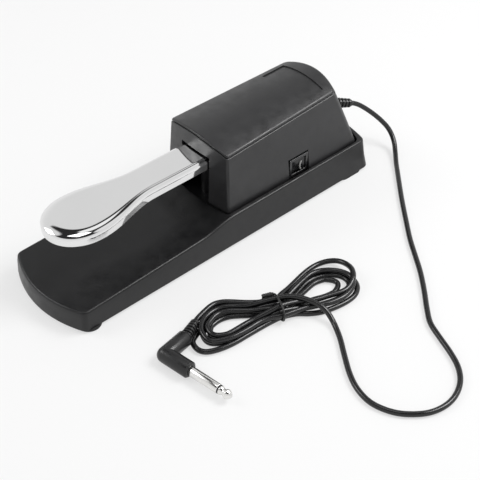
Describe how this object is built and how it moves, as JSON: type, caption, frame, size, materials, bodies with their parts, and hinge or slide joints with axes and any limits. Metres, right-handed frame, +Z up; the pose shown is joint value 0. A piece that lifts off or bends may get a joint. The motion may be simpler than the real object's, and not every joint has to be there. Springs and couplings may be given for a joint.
{
  "type": "sustain pedal",
  "caption": "Piano-style sustain foot pedal: chrome lever hinged in a black housing on a long weighted base, with polarity switch and a lead ending in a jack plug.",
  "frame": {"origin": "on the floor, below the middle of the base's footprint", "axes": "+Z up; -Y towards the toe end of the lever, +Y towards the end that the lead leaves; +X is the side with the polarity switch"},
  "size_m": [0.2632, 0.2933, 0.0768],
  "materials": {
    "base_plastic": "fine-grained moulded black ABS, satin",
    "housing_plastic": "fine-grained moulded black ABS, satin",
    "plate_steel": "black powder-coated sheet steel",
    "rubber": "matt black rubber",
    "zinc_steel": "zinc-plated steel",
    "spring_steel": "drawn spring wire",
    "nylon": "natural white nylon",
    "circuit_board": "green coated glass-fibre board",
    "switch_plastic": "smooth black switch plastic",
    "red_plastic": "red acetal",
    "lead_jacket": "glossy black PVC jacket",
    "tie_plastic": "black plastic-coated twist tie",
    "plug_plastic": "smooth moulded black PVC",
    "lever_chrome": "polished chrome-plated pressed steel",
    "jack_nickel": "bright nickel-plated brass"
  },
  "bodies": {
    "base": {"base_tray": "base_plastic", "bottom_plate": "plate_steel", "front_feet": "rubber", "rear_feet": "rubber", "plate_screws": "zinc_steel", "housing_cover": "housing_plastic", "housing_screws": "zinc_steel", "pivot_bracket": "zinc_steel", "bracket_screws": "zinc_steel", "pivot_pin": "zinc_steel", "pin_clips": "spring_steel", "pivot_bushes": "nylon", "rest_pad": "rubber", "down_stop_pad": "rubber", "spring_seat": "nylon", "return_spring": "spring_steel", "switch_board": "circuit_board", "board_screws": "zinc_steel", "switch_body": "switch_plastic", "polarity_frame": "switch_plastic", "switch_leads": "lead_jacket", "inner_lead": "lead_jacket", "lead_clamp": "nylon", "strain_relief": "lead_jacket", "cable": "lead_jacket", "cable_hank": "lead_jacket", "cable_tie": "tie_plastic", "plug_boot": "plug_plastic", "plug_body": "plug_plastic", "plug_sleeve": "jack_nickel", "plug_insulator": "switch_plastic", "plug_tip": "jack_nickel"},
    "pedal": {"pedal_lever": "lever_chrome", "spring_cap": "nylon", "actuator_pad": "rubber"},
    "plunger": {"switch_plunger": "red_plastic"},
    "rocker": {"polarity_rocker": "switch_plastic"}
  },
  "joints": [
    {"name": "pedal_hinge", "type": "hinge", "parent": "base", "child": "pedal", "pos_m": [0, 0.078, 0.053], "axis": [1, 0, 0], "range_deg": [0, 5], "stiffness_Nm_per_rad": 4.2, "springref_deg": -14.32, "deforming": ["return_spring"]},
    {"name": "plunger_slide", "type": "slide", "parent": "base", "child": "plunger", "axis": [0, 0, -1], "range_m": [0, 0.0026]},
    {"name": "rocker_hinge", "type": "hinge", "parent": "base", "child": "rocker", "pos_m": [0.0252, 0.0642, 0.031], "axis": [0, 0, 1], "range_deg": [0, 16]}
  ],
  "couplings": [
    {"joint": "plunger_slide", "follows": "pedal_hinge", "m_per_rad": 0.028}
  ]
}
